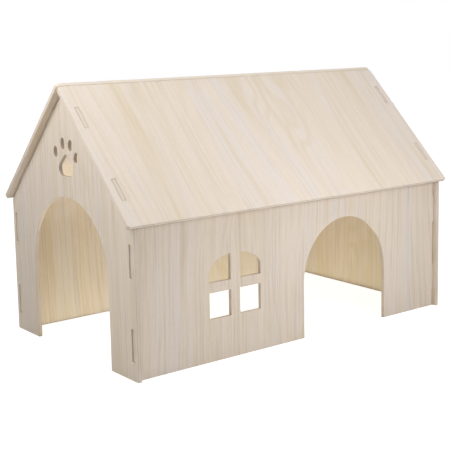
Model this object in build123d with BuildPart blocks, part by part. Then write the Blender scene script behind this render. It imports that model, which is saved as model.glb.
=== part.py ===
# Flat-pack hamster house of thin plywood: two gables, two side walls and two roof panels.
# The side walls have tabs that sit in slots in the gables, and the gables have tabs that
# come up through slots in the roof. It has no floor and no fasteners.
#
# Frame: origin on the ground at the middle of the house, +X along the ridge to the rear
# gable, +Z up. The front gable stands at -X, and the wall with the window at -Y.
# All sizes are in millimetres.

from build123d import *
import os

# ---- Driving dimensions ----

# The sheet and its fits
sheet = 3.0                    # thickness of the plywood
edge_break = 0.25              # sanded off every edge of both faces
slot_play = 0.25               # free space on each side of a tab in its slot
seat_gap = 1.0                 # between a gable's slope and the roof panel over it
ridge_gap = 0.1                # between the roof panels where one butts under the other
wall_end_gap = 0.8             # between a side wall's end and the gable, above and below its tabs

# The house
house_length = 300.0           # over the outer faces of the two gables
gable_width = 176.0
peak_height = 194.0            # where the undersides of the two roof panels would meet
wall_setback = 3.6             # from a gable's upright edge in to the side wall's outer face

# The roof, at 45 degrees, so that each slope drops as far as it runs
roof_overhang = 5.6            # past each gable
roof_slope = 125.5             # from the peak down to the eave, along the underside
roof_corner = 2.4              # radius of a roof panel's corners
slope_tab_length = 18.2
slope_tab_places = (29.8, 94.5)    # middles of the two tabs on a slope, down from the peak
slope_tab_sink = 0.2           # from a tab's end up to the roof's outer face

# The tabs that hold a side wall in the gables
wall_tab_height = 22.4
wall_tab_places = (24.7, 82.6)     # heights of the middles of the two tabs
wall_tab_sink = 0.8            # from a tab's end out to the gable's outer face

# Doorway in the front gable: straight sides and a round arch
front_door_width = 107.4
front_door_spring = 62.4       # height where the arch starts

# Doorway in the side wall: straight sides and an oval arch
side_door_middle = 45.5
side_door_width = 85.9
side_door_spring = 42.6
side_door_rise = 46.0          # of the arch above its start

# Window in the side wall: four panes under one flat oval arch
window_middle = -63.25
window_width = 46.3
window_sill = 31.0
window_spring = 64.4
window_rise = 12.2
mullion_width = 8.5            # the upright bar
transom_bottom = 50.1          # the level bar
transom_top = 57.5

# Paw-print air hole in the front gable, as seen from its outer face's plane (Y, Z)
pad_middle = (-0.6, 136.2)     # midway between the pad's two lower lobes
pad_lobe_radius = 5.0
pad_lobe_spread = 5.8          # from the middle out to each lower lobe
pad_top_radius = 4.0
pad_top_rise = 6.8             # from the lower lobes up to the top lobe
toe_width = 5.9
# Middle (Y, Z), height and lean of each toe; a positive lean tips the top towards +Y
toes = (
    ((14.2, 148.1), 8.2, 3),
    ((3.5, 154.8), 8.6, 2),
    ((-7.3, 154.1), 8.4, -7),
    ((-14.8, 146.0), 8.0, -24),
)

# ---- Worked out from the driving dimensions ----

half_length = house_length / 2
half_width = gable_width / 2
slope_run = 2**-0.5            # level part, and drop, of one step down a 45 degree slope
gable_apex = peak_height - seat_gap / slope_run
gable_shoulder = gable_apex - half_width

wall_outer = half_width - wall_setback
wall_inner = wall_outer - sheet
gable_clear = house_length - 2 * sheet       # from gable to gable inside
wall_length = gable_clear - 2 * wall_end_gap
wall_height = gable_apex - wall_outer

roof_length = house_length + 2 * roof_overhang
tab_slot_width = sheet + 2 * slot_play
slope_slot_length = slope_tab_length + 2 * slot_play
wall_slot_height = wall_tab_height + 2 * slot_play

window_side = -1               # sign of Y on each side of the house
plain_side = 1


def slope_point(side, down, out):
    """(Y, Z) of a point this far down a slope's underside from the peak, and this far out of it."""
    return side * (down + out) * slope_run, peak_height - (down - out) * slope_run


def slope_plane(side):
    """The underside of one roof panel: local Y runs down the slope from the peak."""
    return Plane(origin=(0, 0, peak_height), x_dir=(side, 0, 0), z_dir=(0, side, 1))


def gable_outline():
    """Sketch of a gable: five-sided, with its slope tabs, less the slots for the wall tabs."""
    Polygon(
        (-half_width, 0),
        (half_width, 0),
        (half_width, gable_shoulder),
        (0, gable_apex),
        (-half_width, gable_shoulder),
        align=None,
    )
    tab_root = sheet           # how far a tab's rectangle starts inside the gable
    tab_top = sheet - slope_tab_sink
    for side in (window_side, plain_side):
        for down in slope_tab_places:
            with Locations(slope_point(side, down, (tab_top - tab_root) / 2)):
                Rectangle(slope_tab_length, tab_top + tab_root, rotation=-45 * side)
    slot_middle = (wall_outer + wall_inner) / 2
    with Locations([(y, z) for y in (-slot_middle, slot_middle) for z in wall_tab_places]):
        Rectangle(tab_slot_width, wall_slot_height, mode=Mode.SUBTRACT)


def wall_outline():
    """Sketch of a side wall, from the ground up, with two tabs on each end."""
    with Locations((0, wall_height / 2)):
        Rectangle(wall_length, wall_height)
    tab_reach = sheet - wall_tab_sink
    with Locations([(0, z) for z in wall_tab_places]):
        Rectangle(gable_clear + 2 * tab_reach, wall_tab_height)


def roof_outline(top):
    """Sketch of a roof panel from this far down the slope to the eave, with its four slots."""
    with Locations((0, (top + roof_slope) / 2)):
        RectangleRounded(roof_length, roof_slope - top, roof_corner)
    slot_middle = half_length - sheet / 2
    with Locations([(x, down) for x in (-slot_middle, slot_middle) for down in slope_tab_places]):
        Rectangle(tab_slot_width, slope_slot_length, mode=Mode.SUBTRACT)


def break_edges(panel, face_normal):
    """Take the sharpness off all edges of a flat panel's two faces."""
    faces = panel.faces().filter_by(face_normal)
    front_and_back = faces.sort_by(SortBy.AREA)[-2:]
    chamfer(front_and_back.edges(), length=edge_break)


# ---- Front gable ----

with BuildPart() as front_gable:
    with BuildSketch(Plane.YZ.offset(-half_length)):
        gable_outline()
        # Doorway, open at the ground
        with Locations((0, front_door_spring / 2)):
            Rectangle(front_door_width, front_door_spring, mode=Mode.SUBTRACT)
        with Locations((0, front_door_spring)):
            Circle(front_door_width / 2, mode=Mode.SUBTRACT)
        # Paw print: four toes
        for middle, toe_height, lean in toes:
            with Locations(middle):
                Ellipse(toe_width / 2, toe_height / 2, rotation=-lean, mode=Mode.SUBTRACT)
    extrude(amount=sheet)
    # Paw print: the pad, a triangle with three round corners
    with BuildSketch(Plane.YZ.offset(-half_length)):
        pad_y, pad_z = pad_middle
        with Locations((pad_y - pad_lobe_spread, pad_z), (pad_y + pad_lobe_spread, pad_z)):
            Circle(pad_lobe_radius)
        with Locations((pad_y, pad_z + pad_top_rise)):
            Circle(pad_top_radius)
        make_hull()
    extrude(amount=sheet, mode=Mode.SUBTRACT)
    break_edges(front_gable, Axis.X)

# ---- Rear gable ----

with BuildPart() as rear_gable:
    with BuildSketch(Plane.YZ.offset(half_length - sheet)):
        gable_outline()
    extrude(amount=sheet)
    break_edges(rear_gable, Axis.X)

# ---- Side wall with the window and a doorway ----

with BuildPart() as window_side_wall:
    with BuildSketch(Plane.XZ.offset(wall_inner)):
        wall_outline()
        # Doorway, open at the ground
        with Locations((side_door_middle, side_door_spring / 2)):
            Rectangle(side_door_width, side_door_spring, mode=Mode.SUBTRACT)
        with Locations((side_door_middle, side_door_spring)):
            Ellipse(side_door_width / 2, side_door_rise, mode=Mode.SUBTRACT)
    extrude(amount=sheet)
    # Window: the whole arched opening less its two bars
    with BuildSketch(Plane.XZ.offset(wall_inner)):
        with Locations((window_middle, (window_sill + window_spring) / 2)):
            Rectangle(window_width, window_spring - window_sill)
        with Locations((window_middle, window_spring)):
            Ellipse(window_width / 2, window_rise)
        with Locations((window_middle, (transom_bottom + transom_top) / 2)):
            Rectangle(window_width, transom_top - transom_bottom, mode=Mode.SUBTRACT)
        with Locations((window_middle, (window_sill + peak_height) / 2)):
            Rectangle(mullion_width, peak_height - window_sill, mode=Mode.SUBTRACT)
    extrude(amount=sheet, mode=Mode.SUBTRACT)
    break_edges(window_side_wall, Axis.Y)

# ---- Side wall without openings ----

with BuildPart() as plain_side_wall:
    with BuildSketch(Plane.XZ.offset(-wall_outer)):
        wall_outline()
    extrude(amount=sheet)
    break_edges(plain_side_wall, Axis.Y)

# ---- Roof panels ----

# Its top end stops just under the other panel.
with BuildPart() as window_side_roof_panel:
    with BuildSketch(slope_plane(window_side)):
        roof_outline(top=ridge_gap)
    extrude(amount=sheet)
    break_edges(window_side_roof_panel, slope_plane(window_side))

# Its top end runs on over the other panel's end and makes the ridge.
with BuildPart() as plain_side_roof_panel:
    with BuildSketch(slope_plane(plain_side)):
        roof_outline(top=-sheet)
    extrude(amount=sheet)
    break_edges(plain_side_roof_panel, slope_plane(plain_side))

# ---- Output ----

os.makedirs("parts", exist_ok=True)

panels = {
    "front_gable": front_gable,
    "rear_gable": rear_gable,
    "window_side_wall": window_side_wall,
    "plain_side_wall": plain_side_wall,
    "window_side_roof_panel": window_side_roof_panel,
    "plain_side_roof_panel": plain_side_roof_panel,
}
for panel_name, panel in panels.items():
    panel.part.label = panel_name
    export_step(panel.part, f"parts/{panel_name}.step")
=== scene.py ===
# Flat-pack hamster house of pale plywood: the finish of its six panels, and a small studio.
# The panels' shapes come from the frame. Here each gets plywood of its own: face veneers with
# straight grain, and cut edges that show the three plies.

from math import radians

import bpy
from bpy.props import (
    FloatProperty,
    FloatVectorProperty,
    PointerProperty,
)
from mathutils import Matrix, Vector


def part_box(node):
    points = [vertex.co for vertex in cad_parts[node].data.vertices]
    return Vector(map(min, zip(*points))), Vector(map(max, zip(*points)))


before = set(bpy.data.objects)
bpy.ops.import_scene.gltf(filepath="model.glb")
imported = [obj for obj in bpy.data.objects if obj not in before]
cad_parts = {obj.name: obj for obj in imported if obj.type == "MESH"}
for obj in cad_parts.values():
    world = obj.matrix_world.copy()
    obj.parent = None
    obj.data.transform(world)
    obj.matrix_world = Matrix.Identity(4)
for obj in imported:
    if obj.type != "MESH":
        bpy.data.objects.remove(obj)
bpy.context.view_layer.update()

bl_info = {
    "name": "Plywood Hamster House",
    "version": (1, 0, 0),
    "blender": (4, 5, 0),
    "location": "3D View > Sidebar > Hamster House",
    "description": "Plywood finish, studio and camera for a flat-pack hamster house",
    "category": "Object",
}

MILLIMETRE = 0.001

# How each panel's sheet lies: turned so that its own X is across the grain, Y along the
# grain and Z out of the face
UPRIGHT_ALONG_X = (radians(90), 0, 0)
UPRIGHT_ALONG_Y = (radians(90), 0, radians(90))
SLOPE_TO_PLAIN_SIDE = (radians(-45), 0, 0)
SLOPE_TO_WINDOW_SIDE = (radians(-45), 0, radians(180))

# The slice of the veneer's noise that each panel is cut from
VENEER_SLICES = {
    "front_gable": 1.0,
    "rear_gable": 64.0,
    "window_side_wall": 128.0,
    "plain_side_wall": 192.0,
    "window_side_roof_panel": 262.8,
    "plain_side_roof_panel": 320.0,
}

# The small holes of the paw print, where the cuts are charred and painted darker with the shade
# that falls in the holes
PAW_PRINT_PLACE = (-0.150, 0.0, 0.146)
PAW_PRINT_REACH = 0.025


# ---- Settings ----

def colour_setting(name, description, default):
    """A colour that the user may change."""
    return FloatVectorProperty(
        name=name, description=description, default=default,
        subtype="COLOR", size=3, min=0, max=1,
    )


class VeneerSettings(bpy.types.PropertyGroup):
    """Colours and grain of a face veneer."""

    pale: colour_setting("Pale Wood", "Ground colour of the veneer", (0.825, 0.714, 0.60))
    grey: colour_setting("Grey Streak", "Wide cool streaks", (0.805, 0.72, 0.655))
    cream: colour_setting("Cream Streak", "Wide warm streaks", (0.75, 0.64, 0.48))
    line: colour_setting("Grain Line", "Narrow late-wood lines", (0.61, 0.51, 0.405))
    line_spacing: FloatProperty(
        name="Line Spacing", description="Usual distance between two grain lines",
        default=1.6 * MILLIMETRE, min=0.2 * MILLIMETRE, unit="LENGTH",
    )
    line_amount: FloatProperty(
        name="Line Amount", description="How strongly the grain lines show",
        default=0.39, min=0, max=1, subtype="FACTOR",
    )
    figure_amount: FloatProperty(
        name="Figure Amount", description="How strongly the loops of flat-cut wood show",
        default=0.5, min=0, max=1, subtype="FACTOR",
    )


class EdgeSettings(bpy.types.PropertyGroup):
    """Colours of the three plies where the sheet is cut."""

    thickness: FloatProperty(
        name="Sheet Thickness", description="All three plies together",
        default=3 * MILLIMETRE, min=MILLIMETRE, unit="LENGTH",
    )
    core_share: FloatProperty(
        name="Core Share", description="Part of the thickness that the core takes",
        default=0.5, min=0.1, max=0.9, subtype="FACTOR",
    )
    long_grain: colour_setting("Long Grain", "A ply cut along its grain", (0.82, 0.725, 0.63))
    end_grain: colour_setting("End Grain", "A ply cut across its grain", (0.79, 0.69, 0.59))
    # The scorch colour browns cuts that the laser has scorched, and also paints shade: the dark
    # shadow line of the gaps beside the rims, and the shade in the paw print's small holes.
    scorch_and_shade: colour_setting("Scorch", "Rims that the cutting has browned", (0.30, 0.20, 0.14))
    scorch_and_shade_depth: FloatProperty(
        name="Scorch and Shade Depth", description="How far the browning goes in from a face",
        default=0.7 * MILLIMETRE, min=0, unit="LENGTH",
    )
    # Rim browning is partly real scorch and partly painted shade of the gaps under the eaves and
    # along the joints.
    rim_scorch_and_shade: FloatProperty(
        name="Rim Scorch and Shade", description="How brown the rims are where they are brownest",
        default=0.55, min=0, max=1, subtype="FACTOR",
    )
    even_scorch: FloatProperty(
        name="Even Scorch", description="How brown the rest of a cut is at most",
        default=0.11, min=0, max=1, subtype="FACTOR",
    )


class StudioSettings(bpy.types.PropertyGroup):
    """Light, floor and camera."""

    ambient: FloatProperty(
        name="Ambient", description="Strength of the even light from all sides",
        default=0.1, min=0,
    )
    lamp_level: FloatProperty(
        name="Lamp Level", description="Scales the power of all lamps",
        default=1.0, min=0,
    )
    inner_colour: colour_setting(
        "Inner Light", "Colour of the light that the walls throw about inside",
        (0.975, 0.98, 0.80),
    )
    floor_colour: colour_setting("Floor", "Colour of the floor", (0.75, 0.75, 0.75))
    lens: FloatProperty(
        name="Lens", description="Focal length on a 36 mm wide sensor",
        default=82.86, min=1, unit="CAMERA",
    )


class HouseSettings(bpy.types.PropertyGroup):
    """All settings of the house."""

    veneer: PointerProperty(type=VeneerSettings)
    edge: PointerProperty(type=EdgeSettings)
    studio: PointerProperty(type=StudioSettings)


# ---- Small helpers for node trees ----

def add_node(tree, kind, **settings):
    """A new node with its settings; inputs are set by name through the inputs dictionary."""
    node = tree.nodes.new(kind)
    inputs = settings.pop("inputs", {})
    for name, value in settings.items():
        setattr(node, name, value)
    for name, value in inputs.items():
        feed(tree, node.inputs[name], value)
    return node


def feed(tree, socket, value):
    """Link an output into a socket, or set the socket's own value."""
    if isinstance(value, bpy.types.NodeSocket):
        tree.links.new(value, socket)
    else:
        socket.default_value = value


def calculate(tree, operation, first, second=0.0, third=0.0):
    """The output of a Math node."""
    node = add_node(tree, "ShaderNodeMath", operation=operation)
    for socket, value in zip(node.inputs, (first, second, third)):
        feed(tree, socket, value)
    return node.outputs["Value"]


def blend_colours(tree, amount, first, second, mode="MIX"):
    """The output of a colour Mix node."""
    node = add_node(tree, "ShaderNodeMix", data_type="RGBA", blend_type=mode)
    feed(tree, node.inputs["Factor"], amount)
    colour_inputs = [socket for socket in node.inputs if socket.type == "RGBA"]
    for socket, value in zip(colour_inputs, (first, second)):
        feed(tree, socket, value)
    return next(socket for socket in node.outputs if socket.type == "RGBA")


def blend_values(tree, amount, first, second):
    """The output of a value Mix node."""
    node = add_node(tree, "ShaderNodeMix", data_type="FLOAT")
    value_inputs = [socket for socket in node.inputs if socket.type == "VALUE"]
    for socket, value in zip(value_inputs, (amount, first, second)):
        feed(tree, socket, value)
    return next(socket for socket in node.outputs if socket.type == "VALUE")


def ramp(tree, value, low, high, to_low=0.0, to_high=1.0):
    """A value eased from one range into another."""
    node = add_node(tree, "ShaderNodeMapRange", interpolation_type="SMOOTHSTEP", inputs={
        "Value": value, "From Min": low, "From Max": high, "To Min": to_low, "To Max": to_high,
    })
    return node.outputs["Result"]


def even_noise(tree, place, scale, detail=2.0, roughness=0.5):
    """Noise of one size in every direction."""
    noise = add_node(tree, "ShaderNodeTexNoise", inputs={
        "Vector": place, "Scale": scale, "Detail": detail, "Roughness": roughness,
    })
    return noise.outputs["Fac"]


def stretched_noise(tree, across, along, layer, sizes, detail=2.0, roughness=0.5):
    """Noise drawn out along the grain, by its sizes across and along; layer picks a slice."""
    across_size, along_size = sizes
    place = add_node(tree, "ShaderNodeCombineXYZ", inputs={
        "X": calculate(tree, "DIVIDE", across, across_size),
        "Y": calculate(tree, "DIVIDE", along, along_size),
        "Z": layer,
    })
    return even_noise(tree, place.outputs["Vector"], 1.0, detail, roughness)


def new_group(name, inputs, outputs):
    """A shader node group with named sockets; returns the tree, its input node and output node."""
    tree = bpy.data.node_groups.new(name, "ShaderNodeTree")
    for socket_name, kind in inputs.items():
        tree.interface.new_socket(socket_name, in_out="INPUT", socket_type=kind)
    for socket_name, kind in outputs.items():
        tree.interface.new_socket(socket_name, in_out="OUTPUT", socket_type=kind)
    return tree, tree.nodes.new("NodeGroupInput"), tree.nodes.new("NodeGroupOutput")


# ---- Face veneer ----

# Patterns in the veneer, by their size across the grain and along it
SLOW_WANDER = (0.09, 0.28)
QUICK_WANDER = (0.012, 0.05)
COOL_STREAK = (0.016, 0.45)
WARM_STREAK = (0.022, 0.35)
RISE = (0.03, 0.11)
LEVEL_CUT = (0.07, 0.2)
PORE = (0.25 * MILLIMETRE, 4 * MILLIMETRE)
LINE_LENGTH = 0.09
FINE_LINE_LENGTH = 0.03
FINE_LINE_SHARE = 0.3          # of the usual distance between two lines

# How far these noises carry the grain sideways, from end to end of their range
SLOW_WANDER_REACH = 34 * MILLIMETRE
QUICK_WANDER_REACH = 2.2 * MILLIMETRE
LOOP_RINGS = 58.0              # angle that the rings turn through over the range of the rise

# Where a pattern's noise begins to show, and where it shows in full
COOL_SHOWS = (0.42, 0.68)
WARM_SHOWS = (0.48, 0.72)
RING_SHOWS = (-0.3, 0.9)
LEVEL_CUT_SHOWS = (0.5, 0.62)
LINE_SHOWS = (0.45, 0.75)
FINE_LINE_SHOWS = (0.5, 0.8)
PORE_SHOWS = (0.66, 0.76)
FINE_LINE_STRENGTH = 0.5
PORE_STRENGTH = 0.28

# Slices of the noise, so that no pattern repeats another
FINE_LINE_SLICE = 3.1
PORE_SLICE = 5.7
WARM_SLICE = 7.3
RISE_SLICE = 11.9
LEVEL_CUT_SLICE = 13.3
OTHER_FACE_SLICE = 31.7        # from a sheet's one face to its other

LINE_DEPTH = 0.35              # of the bump's full depth
PORE_DEPTH = 0.65
ROUGHNESS = (0.62, 0.78)       # between the lines, and on them


def veneer_group():
    """Node group for a face veneer: wide streaks, loops, narrow grain lines and short pores."""
    existing = bpy.data.node_groups.get("Face Veneer")
    if existing:
        return existing
    tree, given, result = new_group(
        "Face Veneer",
        {
            "Place": "NodeSocketVector", "Layer": "NodeSocketFloat",
            "Pale": "NodeSocketColor", "Grey": "NodeSocketColor", "Cream": "NodeSocketColor",
            "Line": "NodeSocketColor", "Line Spacing": "NodeSocketFloat",
            "Line Amount": "NodeSocketFloat", "Figure Amount": "NodeSocketFloat",
        },
        {"Color": "NodeSocketColor", "Roughness": "NodeSocketFloat", "Height": "NodeSocketFloat"},
    )
    part = add_node(tree, "ShaderNodeSeparateXYZ", inputs={"Vector": given.outputs["Place"]})
    along = part.outputs["Y"]
    layer = given.outputs["Layer"]

    def sideways(sizes, reach):
        """How far the grain is carried sideways, to either side of its straight line."""
        noise = stretched_noise(tree, part.outputs["X"], along, layer, sizes, detail=1.0)
        return calculate(tree, "MULTIPLY", calculate(tree, "SUBTRACT", noise, 0.5), reach)

    wander = calculate(
        tree, "ADD",
        sideways(SLOW_WANDER, SLOW_WANDER_REACH), sideways(QUICK_WANDER, QUICK_WANDER_REACH),
    )
    across = calculate(tree, "ADD", part.outputs["X"], wander)

    def pattern(sizes, extra_slice=0.0, **settings):
        """Noise that follows the wandering grain, in a slice of its own."""
        slice_here = calculate(tree, "ADD", layer, extra_slice) if extra_slice else layer
        return stretched_noise(tree, across, along, slice_here, sizes, **settings)

    # Wide streaks of a cooler and a warmer tone
    cool = pattern(COOL_STREAK, detail=2.0, roughness=0.6)
    warm = pattern(WARM_STREAK, WARM_SLICE, detail=3.0, roughness=0.8)
    colour = blend_colours(
        tree, ramp(tree, cool, *COOL_SHOWS), given.outputs["Pale"], given.outputs["Grey"],
    )
    colour = blend_colours(tree, ramp(tree, warm, *WARM_SHOWS), colour, given.outputs["Cream"])

    # Long loops, where the veneer's cut runs nearly level with the growth rings
    rise = pattern(RISE, RISE_SLICE, detail=1.0, roughness=0.4)
    rings = calculate(tree, "SINE", calculate(tree, "MULTIPLY", rise, LOOP_RINGS))
    level_cut = pattern(LEVEL_CUT, LEVEL_CUT_SLICE, detail=1.0)
    loops = calculate(
        tree, "MULTIPLY", ramp(tree, rings, *RING_SHOWS), ramp(tree, level_cut, *LEVEL_CUT_SHOWS),
    )
    colour = blend_colours(
        tree, calculate(tree, "MULTIPLY", loops, given.outputs["Figure Amount"]),
        colour, given.outputs["Cream"],
    )

    # Narrow lines of late wood, closer in some places than in others
    spacing = given.outputs["Line Spacing"]
    lines = pattern((spacing, LINE_LENGTH), detail=2.0, roughness=0.65)
    fine_spacing = calculate(tree, "MULTIPLY", spacing, FINE_LINE_SHARE)
    fine_lines = pattern((fine_spacing, FINE_LINE_LENGTH), FINE_LINE_SLICE, detail=1.0)
    line_mask = calculate(
        tree, "ADD",
        ramp(tree, lines, *LINE_SHOWS),
        calculate(tree, "MULTIPLY", ramp(tree, fine_lines, *FINE_LINE_SHOWS), FINE_LINE_STRENGTH),
    )
    colour = blend_colours(
        tree, calculate(tree, "MULTIPLY", line_mask, given.outputs["Line Amount"]),
        colour, given.outputs["Line"],
    )

    # Short open pores
    pore_mask = ramp(tree, pattern(PORE, PORE_SLICE, detail=0.0), *PORE_SHOWS)
    colour = blend_colours(
        tree, calculate(tree, "MULTIPLY", pore_mask, PORE_STRENGTH), colour, given.outputs["Line"],
    )

    height = calculate(
        tree, "SUBTRACT",
        calculate(tree, "MULTIPLY", line_mask, -LINE_DEPTH),
        calculate(tree, "MULTIPLY", pore_mask, PORE_DEPTH),
    )
    feed(tree, result.inputs["Color"], colour)
    feed(tree, result.inputs["Roughness"], ramp(tree, line_mask, 0.0, 1.2, *ROUGHNESS))
    feed(tree, result.inputs["Height"], height)
    return tree


# ---- Cut edge ----

# Scales of the noises on a cut, in cells to a metre
RAGGED_SCALE = 320.0
SPECK_SCALE = 2200.0
STRETCH_SCALE = 140.0
PATCH_SCALE = 60.0
FIBRE_SHOWS = (0.45, 0.75)     # where a fibre's noise begins to show, and where it shows in full
SPECK_STRENGTH = 0.35
STRETCH_STRENGTH = 0.4
SPECK_DEPTH = 0.5              # of the bump's full depth

PLY_UNEVENNESS = 0.3 * MILLIMETRE
PLY_BLUR = 0.06 * MILLIMETRE   # to each side of the line between two plies
GLUE_LINE = (0.04 * MILLIMETRE, 0.1 * MILLIMETRE)    # out from its middle: full, and gone
GLUE_STRENGTH = 0.4

RIM_FADE = (0.6, 1.2)          # shares of the scorch's depth: full, and gone
RIM_UNEVENNESS = 1.5           # times the plies' own
SIDE_BLUR = 0.5 * MILLIMETRE   # to each side of the sheet's middle
# Rims are browner on the panel's -Z side, the roof panels' underside and the gables' outer face,
# where this paints the dark shade line of the gaps under the eaves and under the roof.
OUTER_RIM = 0.6                # browning of the rim on the side of the panel's +Z
GRAIN_END = (0.0, 0.7)         # how far a cut faces along +Y: not at all, and enough to count
PATCH_SHOWS = (0.3, 0.6)
PATCH_LEAST = 0.45             # browning left between the patches
# A burnt cut is partly real charring and partly painted shade.
BURN_AND_SHADE_RANGE = (0.42, 0.62)      # browning of a burnt cut, between the patches and on them
CUT_TURN = (0.4, 0.6)          # how far a surface faces out of the sheet: a cut, and a face


def cut_edge_group():
    """Node group for a cut edge: three plies, each light or dark by how its grain is cut."""
    existing = bpy.data.node_groups.get("Cut Edge")
    if existing:
        return existing
    tree, given, result = new_group(
        "Cut Edge",
        {
            "Place": "NodeSocketVector", "Direction": "NodeSocketVector",
            "Long Grain": "NodeSocketColor", "End Grain": "NodeSocketColor",
            "Thickness": "NodeSocketFloat", "Core Share": "NodeSocketFloat",
            "Scorch": "NodeSocketColor", "Scorch and Shade Depth": "NodeSocketFloat",
            "Rim Scorch and Shade": "NodeSocketFloat", "Side Share": "NodeSocketFloat",
            "Even Scorch": "NodeSocketFloat", "Burn and Shade": "NodeSocketFloat",
        },
        {"Color": "NodeSocketColor", "Height": "NodeSocketFloat", "Mask": "NodeSocketFloat"},
    )
    place = given.outputs["Place"]
    part = add_node(tree, "ShaderNodeSeparateXYZ", inputs={"Vector": place})
    faces = add_node(
        tree, "ShaderNodeSeparateXYZ", inputs={"Vector": given.outputs["Direction"]},
    )
    out_of_face = calculate(tree, "ABSOLUTE", faces.outputs["Z"])
    along_grain = calculate(tree, "POWER", calculate(tree, "ABSOLUTE", faces.outputs["Y"]), 2.0)

    depth = calculate(tree, "ABSOLUTE", part.outputs["Z"])
    half_sheet = calculate(tree, "MULTIPLY", given.outputs["Thickness"], 0.5)
    half_core = calculate(tree, "MULTIPLY", half_sheet, given.outputs["Core Share"])
    ragged = even_noise(tree, place, RAGGED_SCALE)
    uneven = calculate(
        tree, "MULTIPLY", calculate(tree, "SUBTRACT", ragged, 0.5), PLY_UNEVENNESS,
    )
    past_core = calculate(tree, "SUBTRACT", calculate(tree, "ADD", depth, uneven), half_core)
    in_core = ramp(tree, past_core, -PLY_BLUR, PLY_BLUR, 1.0, 0.0)

    # The core's grain runs across the faces' grain.
    end_share = blend_values(
        tree, in_core, along_grain, calculate(tree, "SUBTRACT", 1.0, along_grain),
    )
    end_grain = given.outputs["End Grain"]
    colour = blend_colours(tree, end_share, given.outputs["Long Grain"], end_grain)

    # Fibres: fine specks across, and short dark stretches along the edge
    speck_mask = ramp(tree, even_noise(tree, place, SPECK_SCALE, roughness=0.7), *FIBRE_SHOWS)
    colour = blend_colours(
        tree, calculate(tree, "MULTIPLY", speck_mask, SPECK_STRENGTH), colour, end_grain,
    )
    stretches = even_noise(tree, place, STRETCH_SCALE, detail=3.0)
    colour = blend_colours(
        tree, ramp(tree, stretches, *FIBRE_SHOWS, 0.0, STRETCH_STRENGTH), colour, end_grain,
    )

    # A thin glue line on each side of the core
    glue = ramp(tree, calculate(tree, "ABSOLUTE", past_core), *GLUE_LINE, GLUE_STRENGTH, 0.0)
    colour = blend_colours(tree, glue, colour, end_grain, mode="MULTIPLY")

    # Browned rims next to both faces, full on cuts that face along +Y, and a fainter browning all
    # over. The rims are partly laser scorch and partly painted shade: they darken a cut's rim as
    # the dark shadow line of the gaps under the eaves and along the joints between panels.
    patches = even_noise(tree, place, PATCH_SCALE)
    below_face = calculate(
        tree, "ADD",
        calculate(tree, "SUBTRACT", half_sheet, depth),
        calculate(tree, "MULTIPLY", uneven, RIM_UNEVENNESS),
    )
    in_depths = calculate(tree, "DIVIDE", below_face, given.outputs["Scorch and Shade Depth"])
    rim = ramp(tree, in_depths, *RIM_FADE, 1.0, 0.0)
    side = ramp(tree, part.outputs["Z"], -SIDE_BLUR, SIDE_BLUR, 1.0, OUTER_RIM)
    at_grain_end = ramp(
        tree, faces.outputs["Y"], *GRAIN_END, given.outputs["Side Share"], 1.0,
    )
    rim = calculate(tree, "MULTIPLY", calculate(tree, "MULTIPLY", rim, side), at_grain_end)
    browning_and_shade = calculate(
        tree, "MULTIPLY",
        calculate(
            tree, "MAXIMUM", calculate(tree, "MULTIPLY", rim, given.outputs["Rim Scorch and Shade"]),
            given.outputs["Even Scorch"],
        ),
        ramp(tree, patches, *PATCH_SHOWS, PATCH_LEAST, 1.0),
    )
    # Near the paw print the cut is brown through its whole depth, partly real charring and partly
    # painted shade of its small holes.
    burnt = calculate(
        tree, "MULTIPLY", given.outputs["Burn and Shade"], ramp(tree, patches, *PATCH_SHOWS, *BURN_AND_SHADE_RANGE),
    )
    browning_and_shade = calculate(tree, "MAXIMUM", browning_and_shade, burnt)
    colour = blend_colours(tree, browning_and_shade, colour, given.outputs["Scorch"])

    height = calculate(tree, "ADD", calculate(tree, "MULTIPLY", speck_mask, -SPECK_DEPTH), glue)
    feed(tree, result.inputs["Color"], colour)
    feed(tree, result.inputs["Height"], height)
    feed(tree, result.inputs["Mask"], ramp(tree, out_of_face, *CUT_TURN, 1.0, 0.0))
    return tree


# ---- Plywood ----

BUMP_STRENGTH = 0.35
BUMP_DEPTH = 0.1 * MILLIMETRE
SHEEN = 0.3                    # how strongly bare wood shines, where 0.5 is usual


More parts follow.
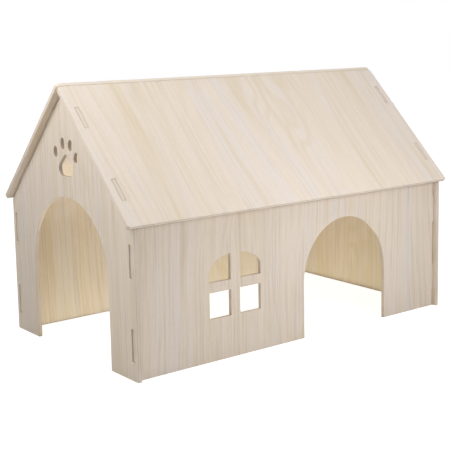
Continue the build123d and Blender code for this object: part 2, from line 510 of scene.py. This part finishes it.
def plywood_material(
    settings, node_name, lie, line_share=1.0, rim_share=1.0, side_share=1.0, even_share=1.0,
    burn=None,
):
    """Plywood for one panel, with its grain and plies laid out from the panel's own middle.

    line_share scales the grain lines, rim_share the browning and painted shade of the rims and
    even_share the browning all over. side_share is how much of the rims' browning and painted
    shade shows on cuts that don't face along the panel's +Y. burn is None, or a place and a
    distance from it within which the cuts are charred and painted with shade.
    """
    low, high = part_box(node_name)
    middle = (low + high) / 2
    material = bpy.data.materials.new(f"{node_name}_plywood")
    material.use_nodes = True
    tree = material.node_tree
    tree.nodes.clear()

    source = add_node(tree, "ShaderNodeTexCoord")
    place = add_node(tree, "ShaderNodeMapping", vector_type="TEXTURE", inputs={
        "Vector": source.outputs["Object"], "Location": middle, "Rotation": lie,
    })
    direction = add_node(tree, "ShaderNodeMapping", vector_type="TEXTURE", inputs={
        "Vector": source.outputs["Normal"], "Rotation": lie,
    })

    # The sheet's other face is another veneer.
    part = add_node(tree, "ShaderNodeSeparateXYZ", inputs={"Vector": place.outputs["Vector"]})
    layer = calculate(
        tree, "MULTIPLY_ADD", calculate(tree, "GREATER_THAN", part.outputs["Z"], 0.0),
        OTHER_FACE_SLICE, VENEER_SLICES[node_name],
    )
    veneer = add_node(tree, "ShaderNodeGroup", node_tree=veneer_group(), inputs={
        "Place": place.outputs["Vector"], "Layer": layer,
        "Pale": (*settings.veneer.pale, 1), "Grey": (*settings.veneer.grey, 1),
        "Cream": (*settings.veneer.cream, 1), "Line": (*settings.veneer.line, 1),
        "Line Spacing": settings.veneer.line_spacing,
        "Line Amount": settings.veneer.line_amount * line_share,
        "Figure Amount": settings.veneer.figure_amount,
    })
    burnt = 0.0
    # Within the reach of the paw print the cuts get charring and painted shade.
    if burn:
        burn_place, burn_reach = burn
        from_burn = add_node(tree, "ShaderNodeVectorMath", operation="DISTANCE")
        feed(tree, from_burn.inputs[0], source.outputs["Object"])
        feed(tree, from_burn.inputs[1], burn_place)
        burnt = calculate(tree, "LESS_THAN", from_burn.outputs["Value"], burn_reach)
    edge = add_node(tree, "ShaderNodeGroup", node_tree=cut_edge_group(), inputs={
        "Place": place.outputs["Vector"], "Direction": direction.outputs["Vector"],
        "Long Grain": (*settings.edge.long_grain, 1), "End Grain": (*settings.edge.end_grain, 1),
        "Thickness": settings.edge.thickness, "Core Share": settings.edge.core_share,
        "Scorch": (*settings.edge.scorch_and_shade, 1), "Scorch and Shade Depth": settings.edge.scorch_and_shade_depth,
        "Rim Scorch and Shade": settings.edge.rim_scorch_and_shade * rim_share, "Side Share": side_share,
        "Even Scorch": settings.edge.even_scorch * even_share, "Burn and Shade": burnt,
    })
    is_cut = edge.outputs["Mask"]
    colour = blend_colours(tree, is_cut, veneer.outputs["Color"], edge.outputs["Color"])
    height = blend_values(tree, is_cut, veneer.outputs["Height"], edge.outputs["Height"])
    bump = add_node(tree, "ShaderNodeBump", inputs={
        "Strength": BUMP_STRENGTH, "Distance": BUMP_DEPTH, "Height": height,
    })
    surface = add_node(tree, "ShaderNodeBsdfPrincipled", inputs={
        "Base Color": colour, "Roughness": veneer.outputs["Roughness"],
        "Specular IOR Level": SHEEN, "Normal": bump.outputs["Normal"],
    })
    add_node(tree, "ShaderNodeOutputMaterial", inputs={"Surface": surface.outputs["BSDF"]})
    return material


def finish_panel(context, node_name, lie, **shares):
    """Give a panel its own plywood, with its lines and its browning and painted shade by the given
    shares.
    """
    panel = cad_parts[node_name]
    material = plywood_material(context.scene.hamster_house, node_name, lie, **shares)
    panel.data.materials.clear()
    panel.data.materials.append(material)


class HAMSTERHOUSE_OT_finish_gables(bpy.types.Operator):
    """Finish the two gables with plywood whose grain stands upright"""

    bl_idname = "hamster_house.finish_gables"
    bl_label = "Finish Gables"

    def execute(self, context):
        # The front gable's cuts near the paw print are charred and painted with the shade of its
        # small holes.
        finish_panel(
            context, "front_gable", UPRIGHT_ALONG_Y, line_share=1.25,
            burn=(PAW_PRINT_PLACE, PAW_PRINT_REACH),
        )
        finish_panel(context, "rear_gable", UPRIGHT_ALONG_Y, line_share=1.25)
        return {"FINISHED"}


class HAMSTERHOUSE_OT_finish_walls(bpy.types.Operator):
    """Finish the two side walls with plywood whose grain stands upright"""

    bl_idname = "hamster_house.finish_walls"
    bl_label = "Finish Side Walls"

    def execute(self, context):
        finish_panel(
            context, "window_side_wall", UPRIGHT_ALONG_X, line_share=1.3, even_share=1.8,
        )
        finish_panel(context, "plain_side_wall", UPRIGHT_ALONG_X, line_share=1.3)
        return {"FINISHED"}


class HAMSTERHOUSE_OT_finish_roof(bpy.types.Operator):
    """Finish the two roof panels with plywood whose grain runs down the slope"""

    bl_idname = "hamster_house.finish_roof"
    bl_label = "Finish Roof"

    def execute(self, context):
        lies = {
            "window_side_roof_panel": SLOPE_TO_WINDOW_SIDE,
            "plain_side_roof_panel": SLOPE_TO_PLAIN_SIDE,
        }
        for node_name, lie in lies.items():
            # The roof's rims are browner, partly as painted shade: the dark shadow line of the gap
            # under the eaves.
            finish_panel(
                context, node_name, lie, line_share=0.7, rim_share=1.8, side_share=0.1,
                even_share=0.0,
            )
        return {"FINISHED"}


# ---- Studio ----

FLOOR_RADIUS = 4.0
FLOOR_SIDES = 96
FLOOR_GLOW = 0.84              # of the floor near the house, as the camera sees it unlit
FLOOR_GLOW_NEAR = 0.4          # how far from the house's middle the floor's glow begins to rise
FLOOR_GLOW_FAR = 0.9           # how far out it is full
FLOOR_SHADE = 0.50             # how much of the floor's light and shadow the camera sees

# Soft lamps. Each has its place, the point that it faces, its diameter in metres and its
# power in watts.
LAMPS = {
    "key_light": ((0.35, -0.30, 0.75), (0, 0, 0.1), 0.4, 0.97),
    "roof_light": ((0.1, -0.15, 0.65), (0, 0, 0.1), 0.4, 0.77),
    "gable_light": ((-0.36, -0.03, 0.38), (0, 0, 0.1), 0.2, 0.80),
    "step_light": ((-0.42, -0.22, 0.03), (-0.15, 0, 0.12), 0.15, 0.20),
    "wall_light": ((0.05, -0.35, 0.22), (0.02, 0, 0.1), 0.2, 0.38),
    "eave_light": ((0, -0.30, 0.02), (0, -0.08, 0.12), 0.25, 0.17),
    "back_light": ((0.7, 1.3, 1.1), (0, 0, 0.1), 1.0, 15.0),
}
# The light that comes back up from the ground inside the house
INNER_LIGHT_PLACE = (0, 0, 0.0002)
INNER_LIGHT_LENGTH = 0.29
INNER_LIGHT_WIDTH = 0.161
INNER_LIGHT_POWER = 0.124
# The light that comes in through the front doorway and up under the roof
ROOF_GLOW_PLACE = (-0.135, 0.0, 0.05)
ROOF_GLOW_AIM = (-0.111, 0.070, 0.124)
ROOF_GLOW_SIZE = 0.03
ROOF_GLOW_POWER = 0.0028
ROOF_GLOW_SPREAD = radians(50)

CAMERA_PLACE = (-0.50711, -0.65399, 0.23377)
CAMERA_YAW = radians(37.44)
CAMERA_PITCH = radians(8.43)
CAMERA_ROLL = radians(-1.11)
CAMERA_SHIFT_DOWN = 0.0943


def floor_material(settings):
    """A plain matt floor, lifted to white where the camera sees it, with its shadow kept."""
    material = bpy.data.materials.new("studio_floor")
    material.use_nodes = True
    tree = material.node_tree
    tree.nodes.clear()
    floor_colour = (*settings.floor_colour, 1)
    rays = add_node(tree, "ShaderNodeLightPath")
    matt = add_node(tree, "ShaderNodeBsdfDiffuse", inputs={"Color": floor_colour})
    source = add_node(tree, "ShaderNodeTexCoord")
    from_middle = add_node(tree, "ShaderNodeVectorMath", operation="LENGTH")
    feed(tree, from_middle.inputs[0], source.outputs["Object"])
    strength = ramp(
        tree, from_middle.outputs["Value"], FLOOR_GLOW_NEAR, FLOOR_GLOW_FAR, FLOOR_GLOW, 1.0,
    )
    glow = add_node(tree, "ShaderNodeEmission", inputs={"Strength": strength})
    shade = add_node(tree, "ShaderNodeBsdfDiffuse", inputs={
        "Color": (FLOOR_SHADE, FLOOR_SHADE, FLOOR_SHADE, 1),
    })
    seen = add_node(tree, "ShaderNodeAddShader")
    feed(tree, seen.inputs[0], glow.outputs["Emission"])
    feed(tree, seen.inputs[1], shade.outputs["BSDF"])
    choice = add_node(tree, "ShaderNodeMixShader")
    feed(tree, choice.inputs[0], rays.outputs["Is Camera Ray"])
    feed(tree, choice.inputs[1], matt.outputs["BSDF"])
    feed(tree, choice.inputs[2], seen.outputs["Shader"])
    add_node(tree, "ShaderNodeOutputMaterial", inputs={"Surface": choice.outputs["Shader"]})
    return material


def light_world(ambient):
    """Even light from all sides, seen as plain white."""
    world = bpy.data.worlds.new("studio_world")
    world.use_nodes = True
    tree = world.node_tree
    tree.nodes.clear()
    rays = add_node(tree, "ShaderNodeLightPath")
    seen = calculate(
        tree, "MAXIMUM", rays.outputs["Is Camera Ray"],
        calculate(
            tree, "MAXIMUM", rays.outputs["Is Glossy Ray"], rays.outputs["Is Transmission Ray"],
        ),
    )
    strength = ramp(tree, seen, 0.0, 1.0, ambient, 1.0)
    background = add_node(tree, "ShaderNodeBackground", inputs={
        "Color": (1, 1, 1, 1), "Strength": strength,
    })
    add_node(tree, "ShaderNodeOutputWorld", inputs={"Surface": background.outputs["Background"]})
    return world


def add_lamp(context, name, place, aim, power, shape, size):
    """A soft lamp that faces a point, and that the camera doesn't see."""
    bpy.ops.object.light_add(type="AREA", location=place)
    lamp = context.active_object
    lamp.name = name
    lamp.data.shape = shape
    lamp.data.size = size
    lamp.data.energy = power
    lamp.rotation_euler = (Vector(aim) - lamp.location).to_track_quat("-Z", "Y").to_euler()
    lamp.visible_camera = False
    return lamp


class HAMSTERHOUSE_OT_set_stage(bpy.types.Operator):
    """Lay the floor and set the lights and the camera"""

    bl_idname = "hamster_house.set_stage"
    bl_label = "Set Stage"

    def execute(self, context):
        settings = context.scene.hamster_house.studio
        bpy.ops.object.select_all(action="DESELECT")
        bpy.ops.mesh.primitive_circle_add(
            vertices=FLOOR_SIDES, radius=FLOOR_RADIUS, fill_type="NGON",
        )
        floor = context.active_object
        floor.name = "studio_floor"
        floor.data.materials.append(floor_material(settings))

        context.scene.world = light_world(settings.ambient)

        for name, (place, aim, diameter, power) in LAMPS.items():
            add_lamp(context, name, place, aim, power * settings.lamp_level, "DISK", diameter)
        above = (0, 0, 1)
        inner = add_lamp(
            context, "inner_light", INNER_LIGHT_PLACE, above,
            INNER_LIGHT_POWER * settings.lamp_level, "RECTANGLE", INNER_LIGHT_LENGTH,
        )
        inner.data.size_y = INNER_LIGHT_WIDTH
        inner.data.color = settings.inner_colour
        glow = add_lamp(
            context, "roof_glow", ROOF_GLOW_PLACE, ROOF_GLOW_AIM,
            ROOF_GLOW_POWER * settings.lamp_level, "DISK", ROOF_GLOW_SIZE,
        )
        glow.data.spread = ROOF_GLOW_SPREAD

        bpy.ops.object.camera_add()
        camera = context.active_object
        camera.name = "camera"
        camera.data.lens = settings.lens
        camera.data.shift_y = -CAMERA_SHIFT_DOWN
        camera.matrix_world = (
            Matrix.Translation(CAMERA_PLACE)
            @ Matrix.Rotation(-CAMERA_YAW, 4, "Z")
            @ Matrix.Rotation(radians(90) - CAMERA_PITCH, 4, "X")
            @ Matrix.Rotation(CAMERA_ROLL, 4, "Z")
        )
        context.scene.camera = camera
        context.scene.view_settings.view_transform = "Standard"
        return {"FINISHED"}


class HAMSTERHOUSE_PT_panel(bpy.types.Panel):
    """Lists the steps that dress the house"""

    bl_idname = "HAMSTERHOUSE_PT_panel"
    bl_label = "Hamster House"
    bl_space_type = "VIEW_3D"
    bl_region_type = "UI"
    bl_category = "Hamster House"

    def draw(self, context):
        settings = context.scene.hamster_house
        for group in (settings.veneer, settings.edge, settings.studio):
            box = self.layout.box()
            for name in group.bl_rna.properties.keys():
                if name not in {"rna_type", "name"}:
                    box.prop(group, name)
        for operator in STEPS:
            self.layout.operator(operator.bl_idname)


STEPS = (
    HAMSTERHOUSE_OT_finish_gables,
    HAMSTERHOUSE_OT_finish_walls,
    HAMSTERHOUSE_OT_finish_roof,
    HAMSTERHOUSE_OT_set_stage,
)
CLASSES = (
    VeneerSettings, EdgeSettings, StudioSettings, HouseSettings, *STEPS, HAMSTERHOUSE_PT_panel,
)


def register():
    for cls in CLASSES:
        bpy.utils.register_class(cls)
    bpy.types.Scene.hamster_house = PointerProperty(type=HouseSettings)


def unregister():
    del bpy.types.Scene.hamster_house
    for cls in reversed(CLASSES):
        bpy.utils.unregister_class(cls)


def main():
    """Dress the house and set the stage."""
    register()
    bpy.ops.hamster_house.finish_gables()
    bpy.ops.hamster_house.finish_walls()
    bpy.ops.hamster_house.finish_roof()
    bpy.ops.hamster_house.set_stage()


if __name__ == "__main__":
    main()
